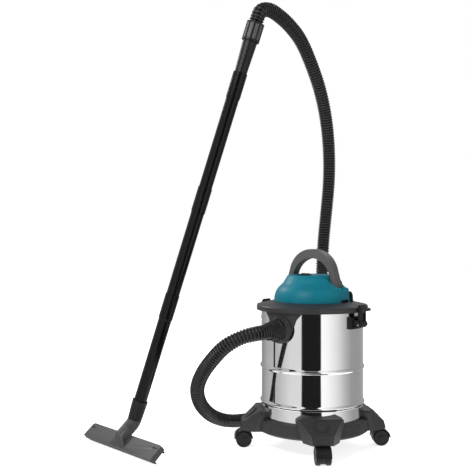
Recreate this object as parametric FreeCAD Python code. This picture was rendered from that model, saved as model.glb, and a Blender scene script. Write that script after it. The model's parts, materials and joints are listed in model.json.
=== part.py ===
# Wet and dry shop vacuum: a steel drum on a castor base, a lift-off motor head
# with a carrying handle, a corrugated hose, a three-piece wand and a floor nozzle.
# Millimetres, +Z up.  Everything is first drawn about the drum's own axis, with the
# inlet facing -Y, and is then moved so that the origin is the centre of the box of
# the rigid pieces, on the floor.
import FreeCAD, Part
import math
import os

V = FreeCAD.Vector
X_AXIS, Y_AXIS, Z_AXIS = V(1, 0, 0), V(0, 1, 0), V(0, 0, 1)

# ---- driving dimensions ----------------------------------------------------
DRUM_R = 140.0            # drum's outer radius
DRUM_WALL = 1.0
DRUM_BOTTOM = 59.0
DRUM_TOP = 383.0
DRUM_CORNER = 10.0        # radius round the drum's foot
BEAD_HEIGHTS = (129.0, 224.0)
BEAD_PROUD = 4.0
BEAD_HALF = 7.5

RING_BOTTOM, RING_TOP = 378.0, 386.0
RING_IN, RING_OUT = 136.5, 147.5
LID_R = 153.0
LID_SKIRT_BOTTOM = 377.0
LID_UNDER = 389.0
LID_TOP = 400.0
BUCKET_R = 80.0
BUCKET_FLOOR = 345.0
EAR_R = 166.0

COVER_R = 105.0
COVER_TOP = 472.0
COVER_WALL = 2.6
SCREW_PITCH = 97.5        # radius of the screws that hold the cover to the lid
SCREW_ANGLES = (-90, -40, 40, 140, 220)

PIVOT_Z = 446.0           # handle pivots
PIVOT_Y = 8.0
HANDLE_TOP = 543.0
HANDLE_ARC_R = 73.0
HANDLE_INNER_TOP = 518.0
HANDLE_INNER_R = 62.0
HANDLE_SPLAY = 16.0       # degrees that each leg leans out
HANDLE_W = 28.0
FOOT_R = 15.5
FOOT_OUT = 84.0
FOOT_IN = 68.0
PIN_R = 3.0
RUNNING = 0.05            # radial clearance of pins and shafts

LATCH_Z = 345.0           # latch pin
LATCH_X = 158.0
LATCH_W = 28.0
LATCH_PIN_R = 2.0

INLET_Z = 333.0
INLET_BORE = 21.0
INLET_FACE = 161.0
HOSE_EXIT = 200.0         # distance of the hose's start from the drum's axis

LEG_ANGLES = [-47.5 + 90 * k for k in range(4)]   # front, right, back and left castor
CASTOR_PITCH = 178.0      # radius of the castor pivots
CASTOR_TRAIL = 12.0
WHEEL_R = 22.0
WHEEL_W = 13.0
WHEEL_GAP = 14.0
AXLE_R = 3.0
STEM_R = 5.0
HOOD_R = 25.5
LEG_TIP = 200.0
LEG_BOTTOM = 49.5
TRAY_R = 131.0
SHAFT_R = 5.0             # motor shaft

HOSE_OD = 39.0
HOSE_ID = 34.5

WAND_FOOT = V(-357.1, -337.5, 70.0)      # where the nozzle's neck and the wand's axis meet
WAND_DIR = V(0.26133, 0.14738, 0.95393)
TUBE_OD, TUBE_ID = 35.4, 32.0
SOCKET_OD = 38.4
SOCKET_L = 67.0
COLLAR_START, COLLAR_END = 10.0, 64.0
JOINT_LOW, JOINT_MID, JOINT_TOP = 368.0, 670.0, 989.0
CUFF_END = 1076.0
GRIP_END = 1126.0
GRIP_R = 24.0

NOZZLE_X, NOZZLE_Y = -360.0, -393.5       # middle of the plate's lower front edge
NOZZLE_YAW = -8.3                        # degrees, the plate's width direction
NOZZLE_TILT = 39.0                       # degrees that the plate is tipped up
NOZZLE_W = 325.0
PLATE_D = 46.0
PLATE_T = 12.0
NECK_R = 19.0
BLADE_H = 12.0
BLADE_FRONT = 4.0         # distance of the front blade behind the plate's front edge
BLADE_T = 3.5

# The hose's route: from the inlet round the left side, along the floor behind the
# base, up behind the head and over in a wide arch down into the grip.
HOSE_ROUTE = [
    V(0, -200, 333), V(0, -238, 333), V(-22, -276, 326), V(-60, -300, 302),
    V(-102, -300, 264), V(-150, -286, 222), V(-194, -262, 172), V(-226, -216, 122),
    V(-243, -166, 84), V(-256, -112, 56), V(-267, -48, 34), V(-275, 22, 21),
    V(-265, 90, 20), V(-243, 150, 20.5), V(-210, 206, 33), V(-176, 242, 82),
    V(-152, 255, 158), V(-141, 255, 246), V(-138, 250, 344), V(-132, 248, 452),
    V(-125, 244, 556), V(-110, 240, 656), V(-93, 230, 752), V(-79, 208, 842),
    V(-67, 175, 926), V(-58, 131, 1004), V(-53, 78, 1072), V(-49, 18, 1134),
    V(-48, -42, 1172), V(-50, -88, 1188), V(-51, -119, 1195), V(-53, -140, 1192),
    V(-55, -158, 1181.5), V(-57.1, -168.3, 1165.1),
]


# ---- helpers ---------------------------------------------------------------
def revolve(points):
    """Solid of revolution about Z of a closed (radius, height) outline."""
    wire = Part.makePolygon([V(r, 0, z) for r, z in points + points[:1]])
    return Part.Face(wire).revolve(V(), Z_AXIS, 360)


def revolve_edges(edges):
    return Part.Face(Part.Wire(edges)).revolve(V(), Z_AXIS, 360)


def cylinder(radius, start, end):
    return Part.makeCylinder(radius, (end - start).Length, start, end - start)


def tube(outer, inner, start, end):
    return cylinder(outer, start, end).cut(cylinder(inner, start, end))


def cone(start_r, end_r, start, end):
    return Part.makeCone(start_r, end_r, (end - start).Length, start, end - start)


def box(x0, x1, y0, y1, z0, z1):
    return Part.makeBox(x1 - x0, y1 - y0, z1 - z0, V(x0, y0, z0))


def prism(points, direction):
    """Straight solid from a closed outline of vectors, along a direction."""
    return Part.Face(Part.makePolygon(points + points[:1])).extrude(direction)


def turned(shape, degrees, centre=V(), axis=Z_AXIS):
    copy = shape.copy()
    copy.rotate(centre, axis, degrees)
    return copy


def round_edges(shape, radius, keep):
    """Fillet the edges that the test keeps."""
    return shape.makeFillet(radius, [edge for edge in shape.Edges if keep(edge)])


def at_angles(shape, angles):
    """Copies of a shape about Z, one at each angle."""
    return Part.makeCompound([turned(shape, angle) for angle in angles])


def fused(shapes):
    return shapes[0].multiFuse(shapes[1:]).removeSplitter()


# ---- drum ------------------------------------------------------------------
def drum_outline(inset):
    """Edges of half the drum's section, set in by the wall for its inside."""
    radius = DRUM_R - inset
    bottom = DRUM_BOTTOM + inset
    corner = DRUM_CORNER
    top = DRUM_TOP + (5.0 if inset else 0.0)
    edges = [Part.LineSegment(V(0, 0, bottom), V(radius - corner, 0, bottom)).toShape()]
    lean = corner * (1 - math.sqrt(0.5))
    edges.append(Part.Arc(V(radius - corner, 0, bottom), V(radius - lean, 0, bottom + lean),
                          V(radius, 0, bottom + corner)).toShape())
    height = bottom + corner
    for bead in BEAD_HEIGHTS:
        low, high = V(radius, 0, bead - BEAD_HALF), V(radius, 0, bead + BEAD_HALF)
        edges.append(Part.LineSegment(V(radius, 0, height), low).toShape())
        edges.append(Part.Arc(low, V(radius + BEAD_PROUD, 0, bead), high).toShape())
        height = bead + BEAD_HALF
    corners = [V(radius, 0, height), V(radius, 0, top), V(0, 0, top), V(0, 0, bottom)]
    edges += [Part.LineSegment(a, b).toShape() for a, b in zip(corners, corners[1:])]
    return edges


def drum_shell():
    """Rolled wall with the inlet's hole, and the flat floor that is seamed into it."""
    shell = revolve_edges(drum_outline(0)).cut(revolve_edges(drum_outline(DRUM_WALL)))
    hole = cylinder(INLET_BORE + 3, V(0, -DRUM_R - 10, INLET_Z), V(0, -DRUM_R + 20, INLET_Z))
    floor = cylinder(DRUM_R - DRUM_CORNER, V(0, 0, DRUM_BOTTOM), V(0, 0, DRUM_BOTTOM + DRUM_WALL))
    return Part.makeCompound([shell.cut(hole).cut(floor), floor])


def drum_top_ring():
    """Moulded ring over the drum's rim, with the shield-shaped inlet plate hanging from it."""
    ring = revolve([(RING_IN, RING_BOTTOM), (DRUM_R - DRUM_WALL, RING_BOTTOM),
                    (DRUM_R - DRUM_WALL, DRUM_TOP), (DRUM_R, DRUM_TOP), (DRUM_R, RING_BOTTOM),
                    (RING_OUT, RING_BOTTOM), (RING_OUT, RING_TOP), (RING_IN, RING_TOP)])
    shield = [V(x, -200, z) for x, z in ((-60, 380), (60, 380), (43, 360), (27, 318),
                                         (15, 299), (-15, 299), (-27, 318), (-43, 360))]
    plate = revolve([(DRUM_R, 290), (RING_OUT - 1, 290), (RING_OUT - 1, 380), (DRUM_R, 380)])
    plate = plate.common(prism(shield, V(0, 110, 0)))
    bore = cylinder(INLET_BORE + 3, V(0, -180, INLET_Z), V(0, -100, INLET_Z))
    return fused([ring, plate]).cut(bore)


def rim_seal():
    return revolve([(138, RING_TOP), (146, RING_TOP), (146, LID_UNDER), (138, LID_UNDER)])


def inlet_socket():
    """Flanged socket on the plate, with a barrel that reaches inside the drum."""
    start, seat = V(0, -RING_OUT + 1.8, INLET_Z), V(0, -152, INLET_Z)
    face = V(0, -INLET_FACE, INLET_Z)
    barrel = cylinder(INLET_BORE + 2.8, V(0, -128, INLET_Z), seat)
    flange = cylinder(36, start, seat)
    collar = cone(34, 31, seat, face)
    bore = cylinder(INLET_BORE, V(0, -120, INLET_Z), V(0, -180, INLET_Z))
    curve = Part.makeCylinder(RING_OUT - 1, 120, V(0, 0, 280))
    rim = fused([flange, collar]).cut(curve)
    return fused([rim, barrel]).cut(bore)


def inlet_deflector():
    """Curved baffle inside the drum that turns the dirt downwards."""
    outer = revolve([(118, 300), (121, 300), (121, 372), (118, 372)])
    sector = prism([V(-38, -160, 300), V(38, -160, 300), V(30, -90, 300), V(-30, -90, 300)],
                   V(0, 0, 80))
    blade = outer.common(sector)
    lugs = [box(side * 30 - 2.5, side * 30 + 2.5, -136, -113, 364, 368) for side in (-1, 1)]
    rim = Part.makeCylinder(DRUM_R - DRUM_WALL, 40, V(0, 0, 350))
    return fused([blade] + lugs).common(rim)


# ---- latches (drawn on +X, turned for the other side) -----------------------
def latch_bracket():
    shell = revolve([(DRUM_R, 334), (148, 334), (148, 366), (DRUM_R, 366)])
    plate = shell.common(box(120, 160, -33, 33, 330, 370))
    half = LATCH_W / 2 + 0.5
    ear = [V(144, half, 337), V(158, half, 337), V(164, half, 343), V(164, half, 350),
           V(158, half, 356), V(144, half, 360)]
    ears = [prism(ear, V(0, 5, 0)), prism([V(p.x, -p.y, p.z) for p in ear], V(0, -5, 0))]
    body = fused([plate] + ears)
    core = Part.makeCylinder(DRUM_R, 60, V(0, 0, 320))
    return body.cut(core).cut(latch_pin())


def latch_pin():
    return cylinder(LATCH_PIN_R, V(LATCH_X, -20, LATCH_Z), V(LATCH_X, 20, LATCH_Z))


def latch_clip():
    """Toggle clip that stands up the lid's edge, with a finger lip at its top."""
    y = -LATCH_W / 2
    outline = [V(154.3, y, LATCH_Z), V(154.3, y, 393), V(156.5, y, 397.5), V(161, y, 397.5),
               V(167, y, 389), V(165.5, y, 384), V(163, y, 380), V(163, y, LATCH_Z)]
    arm = prism(outline, V(0, LATCH_W, 0))
    foot = cylinder(7, V(LATCH_X, y, LATCH_Z), V(LATCH_X, -y, LATCH_Z))
    hollow = box(159.5, 163.1, -10, 10, 354, 376)
    bore = cylinder(LATCH_PIN_R + RUNNING, V(LATCH_X, -20, LATCH_Z), V(LATCH_X, 20, LATCH_Z))
    return fused([arm, foot]).cut(hollow).cut(bore)


# ---- castor base -----------------------------------------------------------
def leg_section(inset):
    """Prism along X whose section is wide at the top and narrow at the foot."""
    half = [(44 - inset, 40), (64 - inset, 100), (57 - inset, 108)]
    section = [V(100, w, z) for w, z in half] + [V(100, -w, z) for w, z in reversed(half)]
    return prism(section, V(120, 0, 0))


def base_leg():
    """One wedge-shaped leg along +X, hollow below, with a boss for the castor stem."""
    half = 70.0
    side = [(120, LEG_BOTTOM), (LEG_TIP - 4, LEG_BOTTOM), (LEG_TIP, 54), (LEG_TIP - 6, 73),
            (186, 79), (152, 107), (120, 107)]
    plan = [(110, 62), (148, 62), (158, 52), (LEG_TIP - 8, 30), (LEG_TIP + 5, 24)]
    wedge = prism([V(r, -half, z) for r, z in side], V(0, 2 * half, 0))
    sides = [V(r, w, 40) for r, w in plan] + [V(r, -w, 40) for r, w in reversed(plan)]
    solid = wedge.common(prism(sides, V(0, 0, 80))).common(leg_section(0.0))
    inner_side = [(160.5, LEG_BOTTOM - 1), (LEG_TIP - 6, LEG_BOTTOM - 1), (LEG_TIP - 8, 69),
                  (183, 74), (160.5, 91)]
    hollow = prism([V(r, -half, z) for r, z in inner_side], V(0, 2 * half, 0))
    inner_plan = [V(150, 46, 40), V(LEG_TIP - 10, 25, 40), V(LEG_TIP - 10, -25, 40), V(150, -46, 40)]
    hollow = hollow.common(prism(inner_plan, V(0, 0, 80))).common(leg_section(3.5))
    boss = cylinder(STEM_R + 4, V(CASTOR_PITCH, 0, LEG_BOTTOM), V(CASTOR_PITCH, 0, 78))
    return fused([solid.cut(hollow), boss])


def ring_section(inner):
    """Corners of half the base ring's section, in from its outside to a radius."""
    outside = [(150, LEG_BOTTOM), (157, 55), (154, 85), (143, 88)]
    return outside + ([(inner, 88), (inner, LEG_BOTTOM)] if inner == 0 else [
        (141, 88), (141, 69), (inner, DRUM_BOTTOM), (inner, 54), (134, LEG_BOTTOM)])


def castor_base():
    """Ring that cups the drum's foot, and the round tray that the drum stands on."""
    ring = revolve(ring_section(TRAY_R))
    well = Part.makeCylinder(DRUM_R + 0.4, 50, V(0, 0, DRUM_BOTTOM + DRUM_CORNER))
    ring = ring.cut(well).cut(revolve_edges(drum_outline(0)))
    tray = cylinder(TRAY_R, V(0, 0, 54), V(0, 0, DRUM_BOTTOM))
    return Part.makeCompound([ring, tray.cut(at_angles(base_screw(), LEG_ANGLES))])


def base_legs():
    """The four legs, which are moulded onto the ring's outside and its upper edge."""
    well = Part.makeCylinder(DRUM_R + 0.4, 50, V(0, 0, DRUM_BOTTOM + DRUM_CORNER))
    leg = base_leg().cut(revolve(ring_section(0))).cut(well)
    leg = leg.cut(castor_stem(RUNNING)).cut(leg_cap())
    return at_angles(leg, LEG_ANGLES)


def leg_cap():
    """Round domed cap on the leg's sloping face."""
    slope = math.atan2(107 - 79, 186 - 152)
    normal = V(math.sin(slope), 0, math.cos(slope))
    centre = V(169, 0, 93)
    plug = cylinder(20, centre - normal * 5, centre + normal * 2.2)
    groove = tube(16.5, 14.5, centre + normal * 0.8, centre + normal * 3)
    ball = Part.makeSphere(40, centre - normal * 36.2)
    dome = ball.common(cylinder(14.5, centre - normal * 2, centre + normal * 8))
    return fused([plug.cut(groove), dome])


def base_screw():
    """Pan-head screw up through the dish into the drum's foot."""
    head = cylinder(5, V(96, 0, 50.6), V(96, 0, 54))
    shank = cylinder(2.5, V(96, 0, 53), V(96, 0, DRUM_BOTTOM))
    return fused([head, shank])


# ---- castors (drawn on +X) ---------------------------------------------------
def castor_stem(clearance=0.0):
    """Steel stem with a shoulder, upright in the leg's boss."""
    return cylinder(STEM_R + clearance, V(CASTOR_PITCH, 0, 44), V(CASTOR_PITCH, 0, 72 + clearance))


def axle_centre():
    return V(CASTOR_PITCH + CASTOR_TRAIL, 0, WHEEL_R)


def castor_hood():
    """Twin-wheel castor body: a web between the wheels and a guard over both."""
    hub = axle_centre()
    half = WHEEL_GAP / 2 - 0.8
    width = WHEEL_GAP / 2 + WHEEL_W
    web = cylinder(WHEEL_R - 3, hub - Y_AXIS * half, hub + Y_AXIS * half)
    guard = tube(HOOD_R, WHEEL_R + 1.2, hub - Y_AXIS * width, hub + Y_AXIS * width)
    guard = guard.cut(box(hub.x - 40, hub.x + 40, -40, 40, -10, WHEEL_R + 1))
    rib = cylinder(HOOD_R, hub - Y_AXIS * half, hub + Y_AXIS * half)
    rib = rib.cut(box(hub.x - 40, hub.x + 40, -40, 40, -10, WHEEL_R))
    neck = cylinder(9, V(CASTOR_PITCH, 0, 38), V(CASTOR_PITCH, 0, 48.5))
    wheel_space = [cylinder(WHEEL_R + 1.2, hub + Y_AXIS * side * (half + 0.01),
                            hub + Y_AXIS * side * 30) for side in (-1, 1)]
    body = fused([web, guard, rib, neck])
    for space in wheel_space:
        body = body.cut(space)
    return body.cut(castor_stem()).cut(castor_axle())


def castor_axle():
    hub = axle_centre()
    reach = WHEEL_GAP / 2 + WHEEL_W - 1
    return cylinder(AXLE_R, hub - Y_AXIS * reach, hub + Y_AXIS * reach)


def castor_wheels():
    """Both wheels: rounded treads with a dished outer face."""
    hub = axle_centre()
    wheels = []
    for side in (-1, 1):
        inner = hub + Y_AXIS * side * WHEEL_GAP / 2
        outer = hub + Y_AXIS * side * (WHEEL_GAP / 2 + WHEEL_W)
        disc = cylinder(WHEEL_R, inner, outer)
        disc = round_edges(disc, 2.5, lambda e: e.Length > 100 and len(e.Vertexes) == 1)
        dish = tube(WHEEL_R - 4, 7, outer - Y_AXIS * side * 1.6, outer + Y_AXIS * side)
        bore = cylinder(AXLE_R + RUNNING, inner - Y_AXIS * side, outer - Y_AXIS * side * 0.9)
        wheels.append(disc.cut(dish).cut(bore))
    return Part.makeCompound(wheels)


# ---- head ------------------------------------------------------------------
def cover_section(inset):
    """Half section of the teal cover's dome, set in by the wall for its inside."""
    rim = COVER_R - inset
    foot = LID_TOP - (5 if inset else 0)
    top = COVER_TOP - inset
    spots = [V(rim, 0, foot), V(rim - 0.6, 0, 410), V(rim - 4.5, 0, 425 - inset / 2),
             V(rim - 14, 0, 439.5 - inset)]
    flank = Part.BSplineCurve()
    flank.interpolate([V(rim, 0, LID_TOP)] + spots[1:])
    edges = [flank.toShape()]
    if inset:
        edges.insert(0, Part.LineSegment(spots[0], V(rim, 0, LID_TOP)).toShape())
    start = spots[-1]
    shoulder = V(rim - 25, 0, 450 - inset)
    brow = V(rim - 36.5, 0, top - 3)
    crown = V(rim - 41, 0, top)
    corners = [start, shoulder, brow, crown, V(0, 0, top), V(0, 0, foot), V(rim, 0, foot)]
    edges += [Part.LineSegment(a, b).toShape() for a, b in zip(corners, corners[1:])]
    return edges


def pocket(side, grow):
    """Space that one handle leg sweeps beside the dome, and its round cradle."""
    clear = 0.7 + grow
    arc_centre = HANDLE_INNER_TOP - HANDLE_INNER_R
    profile = [V(FOOT_IN - clear, PIVOT_Y, PIVOT_Z)]
    for z in (473, 487, 501):
        x = math.sqrt(HANDLE_INNER_R ** 2 - (z - arc_centre) ** 2)
        profile.append(V(x - clear, PIVOT_Y, z))
    profile += [V(130, PIVOT_Y, 501), V(130, PIVOT_Y, PIVOT_Z)]
    pivot = V(0, PIVOT_Y, PIVOT_Z)
    face = Part.Face(Part.makePolygon(profile + profile[:1]))
    scoop = face.revolve(pivot, X_AXIS, 360)
    swing, half = math.radians(45), FOOT_R + clear
    side_y, side_z = half * math.cos(swing), -half * math.sin(swing)
    far = 90.0
    fan = [V(40, PIVOT_Y + side_y, PIVOT_Z + side_z),
           V(40, PIVOT_Y + side_y + far * math.sin(swing), PIVOT_Z + side_z + far * math.cos(swing)),
           V(40, PIVOT_Y - side_y - far * math.sin(swing), PIVOT_Z + side_z + far * math.cos(swing)),
           V(40, PIVOT_Y - side_y, PIVOT_Z + side_z)]
    wedge = scoop.common(prism(fan, V(90, 0, 0)))
    cradle = scoop.common(cylinder(half, V(40, PIVOT_Y, PIVOT_Z), V(130, PIVOT_Y, PIVOT_Z)))
    space = wedge.fuse(cradle)
    if side < 0:
        space = space.mirror(V(), X_AXIS)
    return space


def pivot_shoulder(side, inset):
    """Round shoulder of the dome under each handle pivot."""
    radius = 23.0 - inset
    start = V(side * 60, PIVOT_Y, 423)
    end = V(side * (100.5 - inset), PIVOT_Y, 423)
    barrel = cylinder(radius, start, end)
    return barrel.cut(box(-120, 120, -60, 60, 380, LID_TOP - (5 if inset else 0)))


def head_cover():
    outer = revolve_edges(cover_section(0))
    inner = revolve_edges(cover_section(COVER_WALL))
    outer = fused([outer] + [pivot_shoulder(side, 0) for side in (-1, 1)])
    inner = fused([inner] + [pivot_shoulder(side, COVER_WALL) for side in (-1, 1)])
    for side in (-1, 1):
        outer = outer.cut(pocket(side, 0))
        inner = inner.cut(pocket(side, COVER_WALL))
    shell = outer.cut(inner)
    posts = [cylinder(7, V(side * 52, PIVOT_Y, PIVOT_Z),
                      V(side * 72, PIVOT_Y, PIVOT_Z)).cut(pocket(side, 0)) for side in (-1, 1)]
    post = cylinder(5.5, V(SCREW_PITCH, 0, LID_TOP), V(SCREW_PITCH, 0, 418))
    posts += [turned(post, angle).common(outer) for angle in SCREW_ANGLES]
    shell = fused([shell] + posts)
    for side in (-1, 1):
        shell = shell.cut(handle_pin(side)).cut(vent_space(side))
    shell = shell.cut(at_angles(head_screw(), SCREW_ANGLES))
    shell = shell.cut(box(-17.5, 17.5, -52, -25, 455, 480))
    return shell.cut(cable_gland_space())


def vent_space(side):
    """Low opening under each shoulder, where the cooling air leaves."""
    space = box(88, 112, PIVOT_Y - 22, PIVOT_Y + 16, LID_TOP - 1, 407)
    return space if side > 0 else space.mirror(V(), X_AXIS)


def vent_grille(side):
    """Slatted insert that closes the opening under a shoulder."""
    plate = box(94, 97, PIVOT_Y - 21.6, PIVOT_Y + 15.6, LID_TOP + 0.1, 406.6)
    for k in range(8):
        y = PIVOT_Y - 19.5 + 4.6 * k
        plate = plate.cut(box(90, 99, y, y + 2.2, LID_TOP + 1.4, 405.4))
    return plate if side > 0 else plate.mirror(V(), X_AXIS)


def head_base():
    """Lid: skirted flange, motor bucket and the ears beside each latch."""
    body = revolve([(22, BUCKET_FLOOR), (BUCKET_R, BUCKET_FLOOR), (BUCKET_R, LID_UNDER),
                    (149, LID_UNDER), (149, LID_SKIRT_BOTTOM), (LID_R, LID_SKIRT_BOTTOM),
                    (LID_R, 388.5), (151, 391), (143, 392.5), (112, LID_TOP),
                    (BUCKET_R - 3, LID_TOP), (BUCKET_R - 3, BUCKET_FLOOR + 3),
                    (22, BUCKET_FLOOR + 3)])
    ear = [V(145, 17, 380), V(145, 42, 380), V(158, 40, 380), V(EAR_R, 33, 380), V(EAR_R, 17, 380)]
    ear = prism(ear, V(0, 0, 7)).cut(Part.makeCylinder(150.5, 20, V(0, 0, 375)))
    body = fused([body, ear, turned(ear, 180)])
    return body.cut(at_angles(head_screw(), SCREW_ANGLES))


def exhaust_housing():
    """Low slotted wall round the back of the dome."""
    ring = revolve([(107, LID_TOP + 1.2), (113, LID_TOP), (112, 417), (109, 425), (107, 425)])
    foot = revolve([(107, 399.5), (113, 399.5), (113, 402), (107, 402)])
    lid = revolve([(0, 380), (143, 392.5), (112, LID_TOP), (0, LID_TOP)])
    ring = fused([ring, foot]).cut(lid)
    reach = 200.0
    ends = [V(0, 0, 390)] + [V(reach * math.cos(math.radians(a)), reach * math.sin(math.radians(a)), 390)
                             for a in (26, 60, 90, 120, 154)]
    wall = ring.common(prism(ends, V(0, 0, 60)))
    for k in range(15):
        slot = box(100, 120, -1.6, 1.6, 404, 419)
        wall = wall.cut(turned(slot, 40 + 50 / 7 * k))
    return wall.cut(cable_gland_space())


def head_screw():
    head = cylinder(4, V(SCREW_PITCH, 0, 386), V(SCREW_PITCH, 0, LID_UNDER))
    shank = cylinder(2, V(SCREW_PITCH, 0, 388), V(SCREW_PITCH, 0, 414))
    return fused([head, shank])


def handle_pin(side):
    return cylinder(PIN_R, V(side * 56, PIVOT_Y, PIVOT_Z), V(side * 80, PIVOT_Y, PIVOT_Z))


def arch_outline(top, radius, low):
    """Horseshoe outline: a round top that runs into two legs leaning outwards."""
    lean = math.radians(HANDLE_SPLAY)
    tangent = V(radius * math.cos(lean), 0, top - radius + radius * math.sin(lean))
    drop = tangent.z - low
    foot = V(tangent.x + drop * math.tan(lean), 0, low)
    arc = Part.Arc(V(-tangent.x, 0, tangent.z), V(0, 0, top), tangent).toShape()
    left = Part.LineSegment(V(-foot.x, 0, low), V(-tangent.x, 0, tangent.z)).toShape()
    right = Part.LineSegment(tangent, foot).toShape()
    base = Part.LineSegment(foot, V(-foot.x, 0, low)).toShape()
    return Part.Face(Part.Wire([left, arc, right, base]))


def handle():
    """Carrying handle: flat horseshoe band, thicker at the top, round pivot feet."""
    start = V(0, PIVOT_Y - HANDLE_W / 2, 0)
    outer = arch_outline(HANDLE_TOP, HANDLE_ARC_R, PIVOT_Z)
    inner = arch_outline(HANDLE_INNER_TOP, HANDLE_INNER_R, PIVOT_Z)
    outer.translate(start)
    inner.translate(start - Y_AXIS)
    band = outer.extrude(V(0, HANDLE_W, 0)).cut(inner.extrude(V(0, HANDLE_W + 2, 0)))
    feet = []
    for side in (-1, 1):
        foot = cylinder(FOOT_R, V(side * FOOT_IN, PIVOT_Y, PIVOT_Z), V(side * FOOT_OUT, PIVOT_Y, PIVOT_Z))
        foot = foot.cut(box(-90, 90, -30, 50, PIVOT_Z + 12, PIVOT_Z + 30))
        feet.append(foot)
    body = fused([band] + feet)
    for side in (-1, 1):
        bore = cylinder(PIN_R + RUNNING, V(side * 60, PIVOT_Y, PIVOT_Z),
                        V(side * 80.5, PIVOT_Y, PIVOT_Z))
        body = body.cut(bore)
    return body


def switch_bezel():
    frame = box(-17, 17, -51.5, -25.5, 468, 474.2)
    return frame.cut(box(-13.4, 13.4, -47.9, -29.1, 464, 480))


def switch_rocker():
    """Rocker with a raised end, turning about a line along X."""
    outline = [V(-13, -47, 471), V(-13, -47, 474), V(-13, -38.5, 475), V(-13, -30, 477.5),
               V(-13, -30, 471), V(-13, -34, 467), V(-13, -43, 467)]
    return prism(outline, V(26, 0, 0))


def cable_gland_space():
    return cylinder(7, V(0, 92, 411), V(0, 125, 411))


def cable_gland():
    """Flanged mains inlet at the back of the head."""
    sleeve = cylinder(6.9, V(0, 96, 411), V(0, 114, 411))
    flange = cone(9.5, 8, V(0, 114, 411), V(0, 118, 411))
    return fused([sleeve, flange]).cut(cylinder(4, V(0, 90, 411), V(0, 120, 411)))


def motor_housing():
    """Fan chamber in the bucket and the motor can above it."""
    chamber = revolve([(22, 349), (70, 349), (70, 379), (40, 384), (40, 452), (8, 458),
                       (SHAFT_R + 0.05, 458), (SHAFT_R + 0.05, 454), (8, 454), (37, 448), (37, 381),
                       (67, 376), (67, 352), (22, 352)])
    return chamber


def motor_gasket():
    return revolve([(58, BUCKET_FLOOR + 3), (72, BUCKET_FLOOR + 3), (72, 349), (58, 349)])


def motor_shaft():
    return cylinder(SHAFT_R, V(0, 0, 354), V(0, 0, 457))


def armature():
    core = tube(26, SHAFT_R, V(0, 0, 388), V(0, 0, 432))
    commutator = tube(13, SHAFT_R, V(0, 0, 434), V(0, 0, 446))
    slots = [turned(box(18, 28, -1, 1, 384, 436), 30 * k) for k in range(12)]
    for slot in slots:
        core = core.cut(slot)
    return Part.makeCompound([core, commutator])


def field_coils():
    ring = tube(36.8, 31, V(0, 0, 390), V(0, 0, 430))
    poles = [turned(box(27.5, 34, -11, 11, 392, 428), 180 * k) for k in range(2)]
    return fused([ring] + poles)


def fan_impeller():
    """Two discs with backward-curved blades between them."""
    back = tube(60, SHAFT_R, V(0, 0, 371), V(0, 0, 373))
    front = tube(60, 26, V(0, 0, 355), V(0, 0, 356.5))
    hub = tube(12, SHAFT_R, V(0, 0, 358), V(0, 0, 371.5))
    blade = box(26, 59, -1, 1, 356, 371.5)
    blade = turned(blade, 28, V(26, 0, 0))
    ring = Part.makeCylinder(59.5, 40, V(0, 0, 340))
    blades = [turned(blade.common(ring), 40 * k) for k in range(9)]
    return fused([back, front, hub] + blades)


def filter_cage():
    """Open cage below the motor that guides the float."""
    top = tube(64, 24, V(0, 0, 341), V(0, 0, BUCKET_FLOOR))
    bottom = tube(58, 20, V(0, 0, 252), V(0, 0, 256))
    ribs = [turned(box(53, 58, -3, 3, 254, 343), 45 * k) for k in range(8)]
    return fused([top, bottom] + ribs)


def float_cup():
    """Float that rises and shuts the intake when the drum is full."""
    return revolve([(0, 262), (40, 262), (46, 268), (46, 300), (30, 308), (0, 308)])


def filter_sleeve():
    return tube(66, 58.4, V(0, 0, 254), V(0, 0, 340.6))


# ---- hose and wand ----------------------------------------------------------
def hose_connector():
    """Stepped bayonet connector between the socket and the hose."""
    at = [V(0, -y, INLET_Z) for y in (150, INLET_FACE + 0.2, 171, 176, 190, HOSE_EXIT)]
    plug = cylinder(INLET_BORE - 0.3, at[0], at[1])
    steps = [cylinder(30, at[1], at[2]), cone(27.5, 26, at[2], at[3]),
             cone(25, 23.5, at[3], at[4]), cylinder(23, at[4], at[5])]
    bore = cylinder(HOSE_ID / 2, V(0, -140, INLET_Z), V(0, -HOSE_EXIT - 1, INLET_Z))
    return fused([plug] + steps).cut(bore)


def along_wand(distance):
    return WAND_FOOT + WAND_DIR * distance


def hose_path():
    """Straight runs joined by tangent arcs, each as large as its two runs allow."""
    route = HOSE_ROUTE + [along_wand(GRIP_END)]
    edges, radii = [], []
    start = route[0]
    for before, corner, after in zip(route, route[1:], route[2:]):
        back, ahead = before - corner, after - corner
        turn = math.pi - back.getAngle(ahead)
        reach = 0.45 * min(back.Length, ahead.Length)
        radii.append(reach / math.tan(turn / 2))
        back.normalize()
        ahead.normalize()
        first, last = corner + back * reach, corner + ahead * reach
        bisector = back + ahead
        bisector.normalize()
        depth = radii[-1] / math.cos(turn / 2) - radii[-1]
        edges.append(Part.LineSegment(start, first).toShape())
        edges.append(Part.Arc(first, corner + bisector * depth, last).toShape())
        start = last
    edges.append(Part.LineSegment(start, route[-1]).toShape())
    return edges, radii


def suction_hose():
    edges, radii = hose_path()
    path = Part.Wire(edges)
    start = edges[0].Vertexes[0].Point
    heading = edges[0].tangentAt(0)
    bodies = []
    for radius in (HOSE_OD / 2, HOSE_ID / 2):
        ring = Part.Wire([Part.makeCircle(radius, start, heading)])
        bodies.append(path.makePipeShell([ring], True, False))
    hose = bodies[0].cut(bodies[1])
    section = math.pi * (HOSE_OD ** 2 - HOSE_ID ** 2) / 4
    print("hose length %.0f, radii %s" % (path.Length, [round(r) for r in radii]))
    print("hose volume %.0f against section times length %.0f" % (hose.Volume, section * path.Length))
    return hose


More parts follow.
